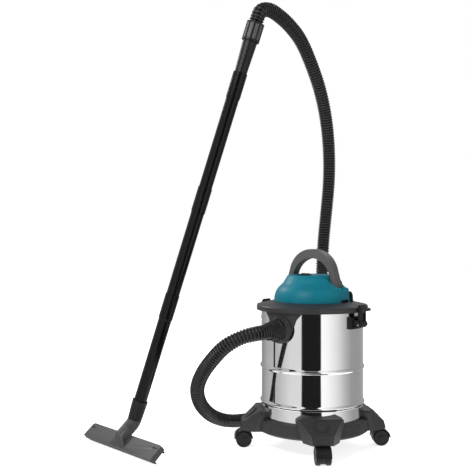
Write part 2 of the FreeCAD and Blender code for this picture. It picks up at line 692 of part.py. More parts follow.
def hose_grip():
    """Ribbed swivel sleeve at the hose's end, with flat panels round it."""
    sleeve = cylinder(GRIP_R, along_wand(CUFF_END), along_wand(GRIP_END))
    sleeve = sleeve.cut(cylinder(HOSE_ID / 2, along_wand(CUFF_END - 1), along_wand(GRIP_END + 1)))
    axis = WAND_DIR
    across = axis.cross(Y_AXIS)
    across.normalize()
    for k in range(10):
        direction = turned_vector(across, axis, 36 * k)
        sideways = axis.cross(direction)
        corner = along_wand(CUFF_END + 5) + direction * (GRIP_R - 1.4) - sideways * 5
        face = Part.Face(Part.makePolygon([corner, corner + direction * 4,
                                           corner + direction * 4 + sideways * 10,
                                           corner + sideways * 10, corner]))
        sleeve = sleeve.cut(face.extrude(axis * (GRIP_END - CUFF_END - 9)))
    return sleeve


def turned_vector(vector, axis, degrees):
    return FreeCAD.Rotation(axis, degrees).multVec(vector)


def wand_cuff():
    """Smooth tapered cuff between the grip and the top tube."""
    taper = cone(16.9, 19.6, along_wand(JOINT_TOP), along_wand(CUFF_END))
    plug = cylinder(TUBE_OD / 2 - 0.1, along_wand(JOINT_TOP - 45), along_wand(JOINT_TOP + 1))
    bore = cylinder(14.5, along_wand(JOINT_TOP - 46), along_wand(CUFF_END + 1))
    return fused([taper, plug]).cut(bore)


def wand_tube(start, end):
    """Push-fit tube with a wider socket at its upper end."""
    neck = end - SOCKET_L
    body = fused([cylinder(TUBE_OD / 2, along_wand(start), along_wand(neck)),
                  cone(TUBE_OD / 2, SOCKET_OD / 2, along_wand(neck - 6), along_wand(neck)),
                  cylinder(SOCKET_OD / 2, along_wand(neck), along_wand(end))])
    body = body.cut(cylinder(TUBE_ID / 2, along_wand(start - 1), along_wand(end + 1)))
    return body.cut(cylinder(TUBE_OD / 2, along_wand(neck + 5), along_wand(end + 1)))


# ---- nozzle (drawn flat: x across, y rearwards, z up, then placed) -------------
def place_nozzle(shape):
    copy = shape.copy()
    copy.rotate(V(), X_AXIS, NOZZLE_TILT)
    copy.rotate(V(), Z_AXIS, NOZZLE_YAW)
    tilt = math.radians(NOZZLE_TILT)
    lift = BLADE_H * math.cos(tilt) - BLADE_FRONT * math.sin(tilt)
    copy.translate(V(NOZZLE_X, NOZZLE_Y, lift))
    return copy


def neck_axis():
    """Start and direction of the neck's axis, in the room."""
    yaw = math.radians(NOZZLE_YAW)
    tilt = math.radians(NOZZLE_TILT)
    rear = V(-math.sin(yaw), math.cos(yaw), 0)
    direction = rear * math.cos(tilt) + Z_AXIS * math.sin(tilt)
    return WAND_FOOT - direction * 52, direction


def nozzle_body():
    """Flat slotted plate, arched tunnel, neck and bend in one moulding."""
    half = NOZZLE_W / 2
    outline = [V(-half, 3, 0), V(-half + 3, 0, 0), V(half - 3, 0, 0), V(half, 3, 0),
               V(half, PLATE_D - 6, 0), V(half - 6, PLATE_D, 0), V(-half + 6, PLATE_D, 0),
               V(-half, PLATE_D - 6, 0)]
    plate = prism(outline, V(0, 0, PLATE_T))
    ramp = Part.makeLoft([arch_wire(38, 1.8, 3), arch_wire(21, 22, 25)], True, True)
    tunnel = Part.Face(arch_wire(21, 22, 25)).extrude(V(0, PLATE_D - 13, 0))
    plate = fused([plate, ramp, tunnel])
    plate = plate.cut(box(-half - 1, half + 1, 8, PLATE_D - 8, -1, PLATE_T - 3))
    for side in (-1, 1):
        plate = plate.cut(box(min(side * 138, side * 156), max(side * 138, side * 156),
                              30, 35, PLATE_T - 2, PLATE_T + 1))
    plate = place_nozzle(plate)
    body = fused([plate] + neck_and_elbow(NECK_R, 0))
    for bore in neck_and_elbow(NECK_R - 3, 12):
        body = body.cut(bore)
    throat = place_nozzle(box(-15, 15, PLATE_D - 26, PLATE_D - 10, -1, PLATE_T + 8))
    return body.cut(throat).cut(nozzle_blades())


def neck_and_elbow(radius, late):
    """Round bars along the neck, started late, and along its bend."""
    start, heading = neck_axis()
    turn = heading.getAngle(WAND_DIR)
    bend = COLLAR_START / math.tan(turn / 2)
    first = WAND_FOOT - heading * COLLAR_START
    hinge = heading.cross(WAND_DIR)
    hinge.normalize()
    centre = first + hinge.cross(heading) * bend
    disc = Part.Face(Part.Wire([Part.makeCircle(radius, first, heading)]))
    return [cylinder(radius, start + heading * late, first),
            disc.revolve(centre, hinge, math.degrees(turn))]


def arch_wire(half_width, height, depth):
    """Half an ellipse that stands on the plate, square to its depth."""
    turns = [math.pi * k / 14 for k in range(15)]
    points = [V(half_width * math.cos(a), depth, PLATE_T - 1 + height * math.sin(a)) for a in turns]
    return Part.makePolygon(points + points[:1])


def nozzle_collar():
    """Tapered collar that the lowest tube plugs into."""
    taper = cone(19.3, 21.2, along_wand(COLLAR_START), along_wand(COLLAR_END))
    bore = cylinder(TUBE_OD / 2 + 0.05, along_wand(COLLAR_START + 8), along_wand(COLLAR_END + 1))
    throat = cylinder(15, along_wand(COLLAR_START - 1), along_wand(COLLAR_START + 9))
    return taper.cut(bore).cut(throat)


def nozzle_blades():
    """Front and rear rubber squeegee strips under the plate."""
    half = NOZZLE_W / 2 - 3
    fronts = (BLADE_FRONT, PLATE_D - BLADE_FRONT - BLADE_T)
    return Part.makeCompound([
        place_nozzle(box(-half, half, y, y + BLADE_T, -BLADE_H, 0)) for y in fronts])


def blade_clips():
    """End clips that hold both strips in their channels."""
    half = NOZZLE_W / 2
    clips = []
    for side in (-1, 1):
        clip = box(half + 0.1, half + 2.6, 2, PLATE_D - 2, -2, PLATE_T - 1)
        clips.append(place_nozzle(clip if side > 0 else clip.mirror(V(), X_AXIS)))
    return Part.makeCompound(clips)


# ---- assembly ----------------------------------------------------------------
def build_nodes():
    nodes = {
        "drum_shell": drum_shell(), "drum_top_ring": drum_top_ring(), "rim_seal": rim_seal(),
        "inlet_socket": inlet_socket(), "inlet_deflector": inlet_deflector(),
        "castor_base": castor_base(), "base_legs": base_legs(), "leg_caps": at_angles(leg_cap(), LEG_ANGLES),
        "base_screws": at_angles(base_screw(), LEG_ANGLES),
        "head_base": head_base(), "head_cover": head_cover(),
        "vent_grilles": Part.makeCompound([vent_grille(-1), vent_grille(1)]),
        "exhaust_housing": exhaust_housing(), "head_screws": at_angles(head_screw(), SCREW_ANGLES),
        "handle": handle(), "latch_pins": at_angles(latch_pin(), (0, 180)),
        "handle_pins": Part.makeCompound([handle_pin(-1), handle_pin(1)]),
        "switch_bezel": switch_bezel(), "switch_rocker": switch_rocker(),
        "cable_gland": cable_gland(), "motor_housing": motor_housing(),
        "motor_gasket": motor_gasket(), "motor_shaft": motor_shaft(), "armature": armature(),
        "field_coils": field_coils(), "fan_impeller": fan_impeller(),
        "filter_cage": filter_cage(), "filter_sleeve": filter_sleeve(), "float_cup": float_cup(),
        "hose_connector": hose_connector(), "suction_hose": suction_hose(),
        "hose_grip": hose_grip(), "wand_cuff": wand_cuff(),
        "wand_tube_top": wand_tube(JOINT_MID - 60, JOINT_TOP),
        "wand_tube_middle": wand_tube(JOINT_LOW - 60, JOINT_MID),
        "wand_tube_bottom": wand_tube(COLLAR_START + 8.5, JOINT_LOW),
        "nozzle_collar": nozzle_collar(), "nozzle_body": nozzle_body(),
        "nozzle_blades": nozzle_blades(), "blade_clips": blade_clips(),
    }
    for side, turn in (("right", 0), ("left", 180)):
        nodes["latch_bracket_" + side] = turned(latch_bracket(), turn)
        nodes["latch_clip_" + side] = turned(latch_clip(), turn)
    for place, turn in zip(("front", "right", "back", "left"), LEG_ANGLES):
        nodes["castor_stem_" + place] = turned(castor_stem(), turn)
        nodes["castor_hood_" + place] = turned(castor_hood(), turn)
        nodes["castor_axle_" + place] = turned(castor_axle(), turn)
        nodes["castor_wheels_" + place] = turned(castor_wheels(), turn)
    return nodes


def origin_shift(nodes):
    """Move that puts the origin at the middle of the rigid pieces' box, on the floor."""
    extent = FreeCAD.BoundBox()
    for name, shape in nodes.items():
        if name != "suction_hose":
            extent.add(shape.optimalBoundingBox(False))
    return V(-extent.Center.x, -extent.Center.y, -extent.ZMin)


def main():
    os.makedirs("parts", exist_ok=True)
    nodes = build_nodes()
    shift = origin_shift(nodes)
    print("shift %.3f %.3f %.3f" % tuple(shift))
    for name, shape in nodes.items():
        placed = shape.copy()
        placed.translate(shift)
        placed.exportStep("parts/%s.step" % name)


main()
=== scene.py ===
"""Looks of a wet and dry shop vacuum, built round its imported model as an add-on."""

import json
import math

import bmesh
import bpy
import numpy as np
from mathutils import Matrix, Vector

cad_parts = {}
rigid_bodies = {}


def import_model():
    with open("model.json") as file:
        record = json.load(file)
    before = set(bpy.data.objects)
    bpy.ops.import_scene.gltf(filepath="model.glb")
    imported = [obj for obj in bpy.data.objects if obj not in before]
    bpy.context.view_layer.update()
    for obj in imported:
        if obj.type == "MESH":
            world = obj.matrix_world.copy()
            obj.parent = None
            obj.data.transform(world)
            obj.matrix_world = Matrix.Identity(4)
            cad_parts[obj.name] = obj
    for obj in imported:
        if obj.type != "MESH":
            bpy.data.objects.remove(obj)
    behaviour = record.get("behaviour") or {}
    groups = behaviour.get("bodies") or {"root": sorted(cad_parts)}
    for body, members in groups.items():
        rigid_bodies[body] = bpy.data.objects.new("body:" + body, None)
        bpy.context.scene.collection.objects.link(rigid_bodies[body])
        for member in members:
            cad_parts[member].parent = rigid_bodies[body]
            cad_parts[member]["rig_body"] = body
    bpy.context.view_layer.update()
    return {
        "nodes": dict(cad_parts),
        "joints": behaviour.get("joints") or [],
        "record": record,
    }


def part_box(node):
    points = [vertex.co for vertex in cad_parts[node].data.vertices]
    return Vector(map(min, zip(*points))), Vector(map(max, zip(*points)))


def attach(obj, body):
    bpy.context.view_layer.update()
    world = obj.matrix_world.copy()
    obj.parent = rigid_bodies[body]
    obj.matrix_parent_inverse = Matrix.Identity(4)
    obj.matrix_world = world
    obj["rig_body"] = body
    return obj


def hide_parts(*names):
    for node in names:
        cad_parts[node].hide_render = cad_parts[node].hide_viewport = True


bl_info = {
    "name": "Shop vacuum looks",
    "version": (1, 0, 0),
    "blender": (4, 5, 0),
    "location": "View3D > Sidebar > Vacuum",
    "description": "Surfaces, finishes and studio for a steel drum shop vacuum",
    "category": "Object",
}

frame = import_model()

MM = 0.001
JOINTS = {joint["name"]: joint for joint in frame["joints"]}
SLOTS = {part["node"]: part["material_slot"] for part in frame["record"]["subparts"]}
DRUM_LOW, DRUM_HIGH = (np.array(corner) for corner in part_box("drum_shell"))
AXIS = np.array([(DRUM_LOW[0] + DRUM_HIGH[0]) / 2, (DRUM_LOW[1] + DRUM_HIGH[1]) / 2, 0.0])
WAND_FOOT = np.array(JOINTS["nozzle_turn"]["pos_m"])
WAND_DIR = np.array(JOINTS["nozzle_turn"]["axis"])
WAND_DIR = WAND_DIR / np.linalg.norm(WAND_DIR)
UP = np.array([0.0, 0.0, 1.0])
CAMERA = np.array([1.2088, -1.7727, 0.58])          # from the foot of the drum's axis
CAMERA_TURN = math.radians(40)                      # about the upright axis
CAMERA_LENS, CAMERA_SENSOR = 59.0, 36.0             # millimetres
CAMERA_SHIFT = 0.0015                               # share of the view's width
AHEAD = np.array([*CAMERA[:2], 0]) / np.hypot(*CAMERA[:2])
RIGHT = np.array([-AHEAD[1], AHEAD[0], 0])
PLACES = ("front", "right", "back", "left")

# The hose's route in millimetres, from the drum's axis: out of the inlet, round the left
# side, along the floor behind the base, up behind the head and over into the grip.
HOSE_ROUTE = [
    (0, -200, 333), (0, -238, 333), (-22, -276, 326), (-60, -300, 302),
    (-102, -300, 264), (-150, -286, 222), (-194, -262, 172), (-226, -216, 122),
    (-243, -166, 84), (-256, -112, 56), (-267, -48, 34), (-275, 22, 21),
    (-265, 90, 20), (-243, 150, 20.5), (-210, 206, 33), (-176, 242, 82),
    (-152, 255, 158), (-141, 255, 246), (-138, 250, 344), (-132, 248, 452),
    (-125, 244, 556), (-110, 240, 656), (-93, 230, 752), (-79, 208, 842),
    (-67, 175, 926), (-58, 131, 1004), (-53, 78, 1072), (-49, 18, 1134),
    (-48, -42, 1165), (-50, -88, 1181), (-52, -119, 1188), (-54.5, -141, 1186),
    (-56, -159, 1178.5), (-57.1, -168.3, 1165.1), (-62.84, -171.55, 1144.13),
]


# ---- settings a user can change ------------------------------------------------
class VacuumSizes(bpy.types.PropertyGroup):
    """Small sizes that belong to the looks."""

    rib_pitch: bpy.props.FloatProperty(
        name="Hose rib pitch", description="Distance from one hose rib to the next",
        default=8 * MM, min=3 * MM, max=20 * MM, unit="LENGTH")
    rib_depth: bpy.props.FloatProperty(
        name="Hose rib depth", description="Depth of the grooves between hose ribs",
        default=3.2 * MM, min=0.2 * MM, max=5 * MM, unit="LENGTH")
    round_steps: bpy.props.IntProperty(
        name="Round steps", description="Faces round a full turn of a large round piece",
        default=160, min=24, max=360)
    edge: bpy.props.FloatProperty(
        name="Edge radius", description="Radius that rounds the edges of moulded pieces",
        default=0.9 * MM, min=0.1 * MM, max=3 * MM, unit="LENGTH")


class VacuumColours(bpy.types.PropertyGroup):
    """Base colours of the finishes."""

    teal: bpy.props.FloatVectorProperty(
        name="Cover", description="Colour of the head's cover", subtype="COLOR",
        default=(0.002, 0.165, 0.225), min=0, max=1)
    handle: bpy.props.FloatVectorProperty(
        name="Handle", description="Colour of the carrying handle", subtype="COLOR",
        default=(0.088, 0.088, 0.086), min=0, max=1)
    case: bpy.props.FloatVectorProperty(
        name="Case", description="Colour of the lid, base and other dark mouldings",
        subtype="COLOR", default=(0.030, 0.030, 0.031), min=0, max=1)
    black: bpy.props.FloatVectorProperty(
        name="Trim", description="Colour of the black trim, tubes and hose", subtype="COLOR",
        default=(0.005, 0.005, 0.005), min=0, max=1)


# ---- materials -------------------------------------------------------------------
class Value:
    """A shader socket that adds, subtracts and multiplies through Math nodes."""

    def __init__(self, finish, socket):
        self.finish, self.socket = finish, socket

    def combine(self, operation, first, second):
        return self.finish.node("ShaderNodeMath", {"operation": operation},
                                {0: first, 1: second})

    def __add__(self, other):
        return self.combine("ADD", self, other)

    def __sub__(self, other):
        return self.combine("SUBTRACT", self, other)

    def __rsub__(self, other):
        return self.combine("SUBTRACT", other, self)

    def __mul__(self, other):
        return self.combine("MULTIPLY", self, other)

    __radd__, __rmul__ = __add__, __mul__


class Finish:
    """One procedural material: a principled shader and a way to add nodes to it."""

    def __init__(self, name, colour, roughness, metallic=0.0, gloss=0.5):
        self.material = bpy.data.materials.new(name)
        self.material.use_nodes = True
        self.material.diffuse_color = (*colour, 1)
        self.tree = self.material.node_tree
        self.shader = self.tree.nodes["Principled BSDF"]
        self.colour = tuple(colour)
        self.set("Base Color", (*colour, 1))
        self.set("Roughness", roughness)
        self.set("Metallic", metallic)
        self.set("Specular IOR Level", gloss)

    def node(self, kind, settings, inputs, output=0):
        """Adds a node, sets its settings first, then its inputs, and gives one output."""
        made = self.tree.nodes.new(kind)
        for key, value in settings.items():
            if key == "stops":
                self.set_stops(made.color_ramp, value)
            else:
                setattr(made, key, value)
        for key, value in inputs.items():
            if isinstance(value, Value):
                self.tree.links.new(value.socket, made.inputs[key])
            else:
                made.inputs[key].default_value = value
        return Value(self, made.outputs[output])

    @staticmethod
    def set_stops(ramp, stops):
        while len(ramp.elements) < len(stops):
            ramp.elements.new(0.5)
        for element, (position, level) in zip(ramp.elements, stops):
            element.position = position
            element.color = (level, level, level, 1)

    def set(self, name, value):
        """Sets one input of the principled shader, to a plain value or to a link."""
        if isinstance(value, Value):
            self.tree.links.new(value.socket, self.shader.inputs[name])
        else:
            self.shader.inputs[name].default_value = value

    def place(self):
        return self.node("ShaderNodeTexCoord", {}, {}, "Object")

    def noise(self, scale, detail=3.0, vector=None):
        return self.node("ShaderNodeTexNoise", {}, {
            "Vector": vector or self.place(), "Scale": scale, "Detail": detail})

    def stretched(self, scale):
        """Object coordinates, scaled differently along each axis."""
        return self.node("ShaderNodeMapping", {}, {"Vector": self.place(), "Scale": scale})

    def mask(self, value, low, high):
        return self.node("ShaderNodeMapRange", {"clamp": True}, {
            "Value": value, "From Min": low, "From Max": high})

    def tint(self, factor, first, second):
        return self.node("ShaderNodeMix", {"data_type": "RGBA"}, {
            0: factor, 6: (*first, 1), 7: (*second, 1)}, 2)

    def bump(self, height, strength, distance):
        self.set("Normal", self.node("ShaderNodeBump", {}, {
            "Strength": strength, "Distance": distance, "Height": height}))


def shade(colour, factor):
    return tuple(min(1.0, channel * factor) for channel in colour)


def moulded(name, colour, roughness, grain=900.0, depth=0.06 * MM, gloss=0.24):
    """Moulded plastic: fine spark-eroded grain, cloudy tone and a few dull rubbed patches."""
    finish = Finish(name, colour, roughness, gloss=gloss)
    cloud = finish.noise(14.0)
    rubbed = finish.mask(finish.noise(48.0, 6.0), 0.60, 0.74)
    tone = finish.mask(cloud * 0.7 + rubbed * 0.3, 0.2, 0.8)
    finish.set("Base Color", finish.tint(tone, shade(colour, 0.88), shade(colour, 1.16)))
    finish.set("Roughness", cloud * 0.10 + rubbed * 0.06 + (roughness - 0.05))
    finish.bump(finish.noise(grain, 2.0), 0.35, depth)
    return finish.material


def mirror_steel(name):
    """Mirror-polished stainless sheet: faint polishing streaks round the drum."""
    finish = Finish(name, (0.74, 0.74, 0.75), 0.05, 1.0)
    streaks = finish.noise(1.0, 4.0, finish.stretched((30.0, 30.0, 900.0)))
    smears = finish.mask(finish.noise(9.0, 5.0), 0.45, 0.8)
    finish.set("Base Color", finish.tint(smears, (0.76, 0.76, 0.77), (0.70, 0.70, 0.71)))
    finish.set("Roughness", streaks * 0.03 + smears * 0.03 + 0.035)
    finish.bump(finish.noise(7.0, 1.0), 0.10, 0.6 * MM)
    return finish.material


def zinc_steel(name):
    """Zinc-plated pins and screws, with a soft spangle."""
    finish = Finish(name, (0.55, 0.55, 0.54), 0.3, 1.0)
    spangle = finish.noise(350.0, 2.0)
    finish.set("Base Color", finish.tint(spangle, (0.48, 0.48, 0.46), (0.64, 0.64, 0.65)))
    finish.set("Roughness", spangle * 0.2 + 0.22)
    return finish.material


def gloss_tube(name, colour):
    """Glossy extruded tube: a faint fine ripple and light handling scuffs."""
    finish = Finish(name, colour, 0.16, gloss=0.22)
    scuffs = finish.mask(finish.noise(70.0, 8.0), 0.62, 0.72)
    finish.set("Base Color", finish.tint(scuffs, colour, shade(colour, 2.4)))
    finish.set("Roughness", scuffs * 0.10 + finish.noise(22.0) * 0.06 + 0.13)
    finish.bump(finish.noise(60.0, 1.0), 0.06, 0.2 * MM)
    return finish.material


def soft_rubber(name, colour, roughness):
    """Rubber: dull, with a trace of dust."""
    finish = Finish(name, colour, roughness, gloss=0.22)
    dust = finish.mask(finish.noise(55.0, 6.0), 0.5, 0.8)
    finish.set("Base Color", finish.tint(dust, colour, shade(colour, 2.0)))
    finish.set("Roughness", dust * 0.15 + (roughness - 0.05))
    finish.bump(finish.noise(1400.0, 2.0), 0.3, 0.05 * MM)
    return finish.material


def ribbed_hose(name, colour):
    """Flexible hose: paler crests, a painted highlight, over black grooves, painted shade, and a
    trace of dust.
    """
    finish = Finish(name, colour, 0.26, gloss=0.36)
    crest = finish.mask(finish.node("ShaderNodeAttribute", {"attribute_name": "crest"}, {}, "Fac"),
                        0.45, 0.95)
    dust = finish.mask(finish.noise(55.0, 6.0), 0.5, 0.8)
    # Base colour runs from near black in the grooves, painted shade, to pale on the crests, a
    # painted highlight.
    finish.set("Base Color", finish.tint(crest * (dust * 0.3 + 0.7), shade(colour, 0.4),
                                         shade(colour, 9.0)))
    finish.set("Roughness", dust * 0.12 + crest * 0.06 + 0.18)
    finish.bump(finish.noise(1400.0, 2.0), 0.2, 0.04 * MM)
    return finish.material


def foam(name, colour):
    """Open-cell filter foam, darker down in the cell pits where the bump sinks: painted shade."""
    finish = Finish(name, colour, 0.95)
    cells = finish.node("ShaderNodeTexVoronoi", {}, {"Vector": finish.place(), "Scale": 420.0})
    # Painted shade: the colour darkens towards each cell's pit, following the bump.
    finish.set("Base Color", finish.tint(
        finish.mask(cells, 0.0, 0.6), shade(colour, 0.4), shade(colour, 1.6)))
    finish.bump(cells, 0.9, 0.8 * MM)
    return finish.material


def windings(name):
    """Enamelled copper wire over laminated steel, darker down between the turns where the bump
    sinks: painted shade.
    """
    finish = Finish(name, (0.45, 0.17, 0.05), 0.35, 0.9)
    wires = finish.node("ShaderNodeTexWave", {"bands_direction": "Z"}, {
        "Vector": finish.place(), "Scale": 320.0, "Distortion": 1.5})
    level = finish.mask(wires, 0.0, 1.0)
    # Painted shade: the copper darkens down in the grooves between turns, following the bump.
    finish.set("Base Color", finish.tint(level, (0.22, 0.07, 0.02), (0.6, 0.25, 0.09)))
    finish.set("Roughness", level * 0.2 + 0.25)
    finish.bump(level, 0.5, 0.3 * MM)
    return finish.material


def make_finishes():
    colours = bpy.context.scene.vacuum_colours
    black, case = tuple(colours.black), tuple(colours.case)
    return {
        "mirror_steel": mirror_steel("mirror_steel"),
        "teal_shell": moulded("teal_shell", tuple(colours.teal), 0.46, 700.0, 0.03 * MM, 0.16),
        "handle_grey": moulded("handle_grey", tuple(colours.handle), 0.5, 1100.0, 0.05 * MM),
        "case_grey": moulded("case_grey", case, 0.42),
        "trim_black": moulded("trim_black", shade(black, 1.6), 0.36),
        "cuff_black": moulded("cuff_black", shade(black, 2.0), 0.34, 1200.0, 0.04 * MM),
        "grip_pad": moulded("grip_pad", shade(case, 2.6), 0.5, 1300.0, 0.08 * MM),
        "tube_gloss_black": gloss_tube("tube_gloss_black", shade(black, 0.6)),
        "hose_black": ribbed_hose("hose_black", shade(black, 0.7)),
        "nozzle_grey": moulded("nozzle_grey", shade(case, 1.7), 0.42),
        "blade_rubber": soft_rubber("blade_rubber", black, 0.7),
        "seal_rubber": soft_rubber("seal_rubber", black, 0.75),
        "wheel_black": moulded("wheel_black", shade(black, 1.6), 0.4),
        "zinc_steel": zinc_steel("zinc_steel"),
        "filter_foam": foam("filter_foam", (0.05, 0.05, 0.055)),
        "motor_core": windings("motor_core"),
        "inner_plastic": moulded("inner_plastic", shade(case, 1.2), 0.55),
    }


FINISHES = {}


# ---- surfaces ------------------------------------------------------------------
def unit(vectors):
    vectors = np.asarray(vectors, float)
    return vectors / np.linalg.norm(vectors, axis=-1, keepdims=True)


def square_pair(axis):
    """Two unit vectors square to an axis and to each other."""
    spare = np.array([1.0, 0.0, 0.0]) if abs(axis[0]) < 0.8 else np.array([0.0, 1.0, 0.0])
    across = unit(np.cross(axis, spare))
    return across, np.cross(axis, across)


def rounded(outline, radii, steps=5):
    """An outline whose corners are quadratic curves: each starts and ends the corner's
    radius away from it, or at most 0.45 of the shorter side, and bends towards it."""
    outline = np.asarray(outline, float)
    radii = np.broadcast_to(radii, len(outline))
    rows = [outline[:1]]
    t = np.linspace(0, 1, steps)[:, None]
    for before, corner, after, radius in zip(outline, outline[1:], outline[2:], radii[1:]):
        back, ahead = before - corner, after - corner
        reach = min(radius, 0.45 * np.linalg.norm(back), 0.45 * np.linalg.norm(ahead))
        first, last = corner + unit(back) * reach, corner + unit(ahead) * reach
        rows.append(first * (1 - t) ** 2 + corner * 2 * t * (1 - t) + last * t ** 2)
    rows.append(outline[-1:])
    return np.vstack(rows)


def turned_grid(outline, origin, axis, steps):
    """Surface of revolution: each outline point (radius, height) goes to
    origin + axis * height + radius * (cos a * u + sin a * w), for a round a full turn."""
    across, other = square_pair(axis)
    angle = np.linspace(0, 2 * math.pi, steps, endpoint=False)
    ring = np.cos(angle)[:, None] * across + np.sin(angle)[:, None] * other
    radius, height = outline[:, 0], outline[:, 1]
    return origin + height[:, None, None] * axis + radius[:, None, None] * ring


def swept_grid(centres, sides, ups, section):
    """A section carried along a path: point (p, q) of it goes to centre + p * side + q * up."""
    return (centres[:, None] + section[..., 0:1] * sides[:, None]
            + section[..., 1:2] * ups[:, None])


def grid_faces(rows, columns, first=0, loop=False):
    """Four-sided faces of a grid of points that wraps round its second direction."""
    numbers = first + np.arange(rows * columns).reshape(rows, columns)
    if loop:
        numbers = np.vstack([numbers, numbers[:1]])
    right = np.roll(numbers, -1, axis=1)
    return np.stack([numbers[:-1], right[:-1], right[1:], numbers[1:]], -1).reshape(-1, 4)


def joined_mesh(name, grids, crests=None):
    """One mesh from several grids of points, each wrapped round its second direction and,
    if it is marked as a loop, round its first too.  Rows that meet in a point become a pole.
    The crests are one number for each row of each grid, kept as an attribute of its points."""
    corners, faces, first = [], [], 0
    for grid, loop in grids:
        rows, columns = grid.shape[:2]
        faces.append(grid_faces(rows, columns, first, loop))
        corners.append(grid.reshape(-1, 3))
        first += rows * columns
    mesh = bpy.data.meshes.new(name)
    mesh.from_pydata(np.vstack(corners).tolist(), [], np.vstack(faces).tolist())
    if crests is not None:
        level = np.concatenate([np.repeat(row, grid.shape[1])
                                for row, (grid, _) in zip(crests, grids)])
        mesh.attributes.new("crest", "FLOAT", "POINT").data.foreach_set(
            "value", level.astype(np.float32))
    cleaned(mesh, 0.002 * MM)
    return mesh


def cleaned(mesh, distance, flat=None):
    """Merges doubles, then drops flat-face edges if asked to, or else points the faces outwards.
    """
    work = bmesh.new()
    work.from_mesh(mesh)
    bmesh.ops.remove_doubles(work, verts=work.verts, dist=distance)
    bmesh.ops.dissolve_degenerate(work, edges=work.edges, dist=distance)
    if flat:
        bmesh.ops.dissolve_limit(work, angle_limit=flat, verts=work.verts, edges=work.edges)
    else:
        bmesh.ops.recalc_face_normals(work, faces=work.faces)
    work.to_mesh(mesh)
    work.free()


def finished(name, mesh, nodes, sharp=35.0, finish=None):
    """Links a mesh as a piece that stands for its CAD nodes and rides on their body."""
    piece = bpy.data.objects.new(name, mesh)
    bpy.context.scene.collection.objects.link(piece)
    slot = finish or SLOTS[nodes[0]]
    mesh.materials.clear()
    mesh.materials.append(FINISHES[slot])
    mesh.polygons.foreach_set("use_smooth", np.ones(len(mesh.polygons), bool))
    mesh.set_sharp_from_angle(angle=math.radians(sharp))
    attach(piece, frame["nodes"][nodes[0]]["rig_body"])
    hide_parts(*nodes)
    return piece


def lathe(name, node, outlines, origin, axis, steps=96, sharp=35.0):
    """A round piece: closed outlines of (radius, height) turned about an axis."""
    grids = [(turned_grid(np.asarray(outline, float), origin, axis, steps), closed)
             for outline, closed in outlines]
    return finished(name, joined_mesh(name, grids), [node], sharp)


def closed_outline(points, radii):
    """A rounded loop, for a piece with a hole along its axis; it starts on a long side."""
    points = np.asarray(points, float)
    start = (points[0] + points[-1]) / 2
    loop = np.vstack([start, points, start])
    spread = np.concatenate([[0], np.broadcast_to(radii, len(points)), [0]])
    return rounded(loop, spread)[:-1], True


def softened(node, width, segments=3, angle=30.0):
    """A copy of a CAD node with merged corners and rounded edges."""
    mesh = frame["nodes"][node].data.copy()
    mesh.name = node + "_skin"
    cleaned(mesh, 0.005 * MM, math.radians(0.5))
    piece = finished(node + "_skin", mesh, [node], angle)
    bevel = piece.modifiers.new("edges", "BEVEL")
    bevel.width = width
    bevel.segments = segments
    bevel.limit_method = "ANGLE"
    bevel.angle_limit = math.radians(angle)
    bevel.harden_normals = True
    bevel.use_clamp_overlap = True
    return piece


# ---- camera --------------------------------------------------------------------
class VACUUM_OT_camera(bpy.types.Operator):
    """Place the camera at eye level in front of the vacuum, to the right of its inlet"""

    bl_idname = "vacuum.camera"
    bl_label = "Camera"

    def execute(self, context):
        data = bpy.data.cameras.new("camera")
        data.lens, data.sensor_width = CAMERA_LENS, CAMERA_SENSOR
        camera = bpy.data.objects.new("camera", data)
        context.scene.collection.objects.link(camera)
        data.shift_y = CAMERA_SHIFT
        camera.location = AXIS + CAMERA
        camera.rotation_euler = (math.radians(90), 0, CAMERA_TURN)
        context.scene.camera = camera
        return {"FINISHED"}


# ---- hose -------------------------------------------------------------------------
def hose_line():
    """Points along the smooth line of the hose, evenly spaced, and their directions."""
    curve = bpy.data.curves.new("hose_line", "CURVE")
    curve.dimensions = "3D"
    spline = curve.splines.new("NURBS")
    spline.points.add(len(HOSE_ROUTE) - 1)
    route = np.array(HOSE_ROUTE) * MM + AXIS
    spline.points.foreach_set("co", np.hstack([route, np.ones((len(route), 1))]).ravel())
    spline.order_u = 3
    spline.use_endpoint_u = True
    spline.resolution_u = 24
    line = bpy.data.objects.new("hose_line", curve)
    bpy.context.scene.collection.objects.link(line)
    bpy.context.view_layer.update()
    traced = bpy.data.meshes.new_from_object(line.evaluated_get(
        bpy.context.evaluated_depsgraph_get()))
    points = np.empty(len(traced.vertices) * 3)
    traced.vertices.foreach_get("co", points)
    points = points.reshape(-1, 3)
    bpy.data.objects.remove(line)
    bpy.data.meshes.remove(traced)
    run = np.concatenate([[0], np.cumsum(np.linalg.norm(np.diff(points, axis=0), axis=1))])
    keep = np.concatenate([[True], np.diff(run) > 1e-7])
    return points[keep], run[keep]


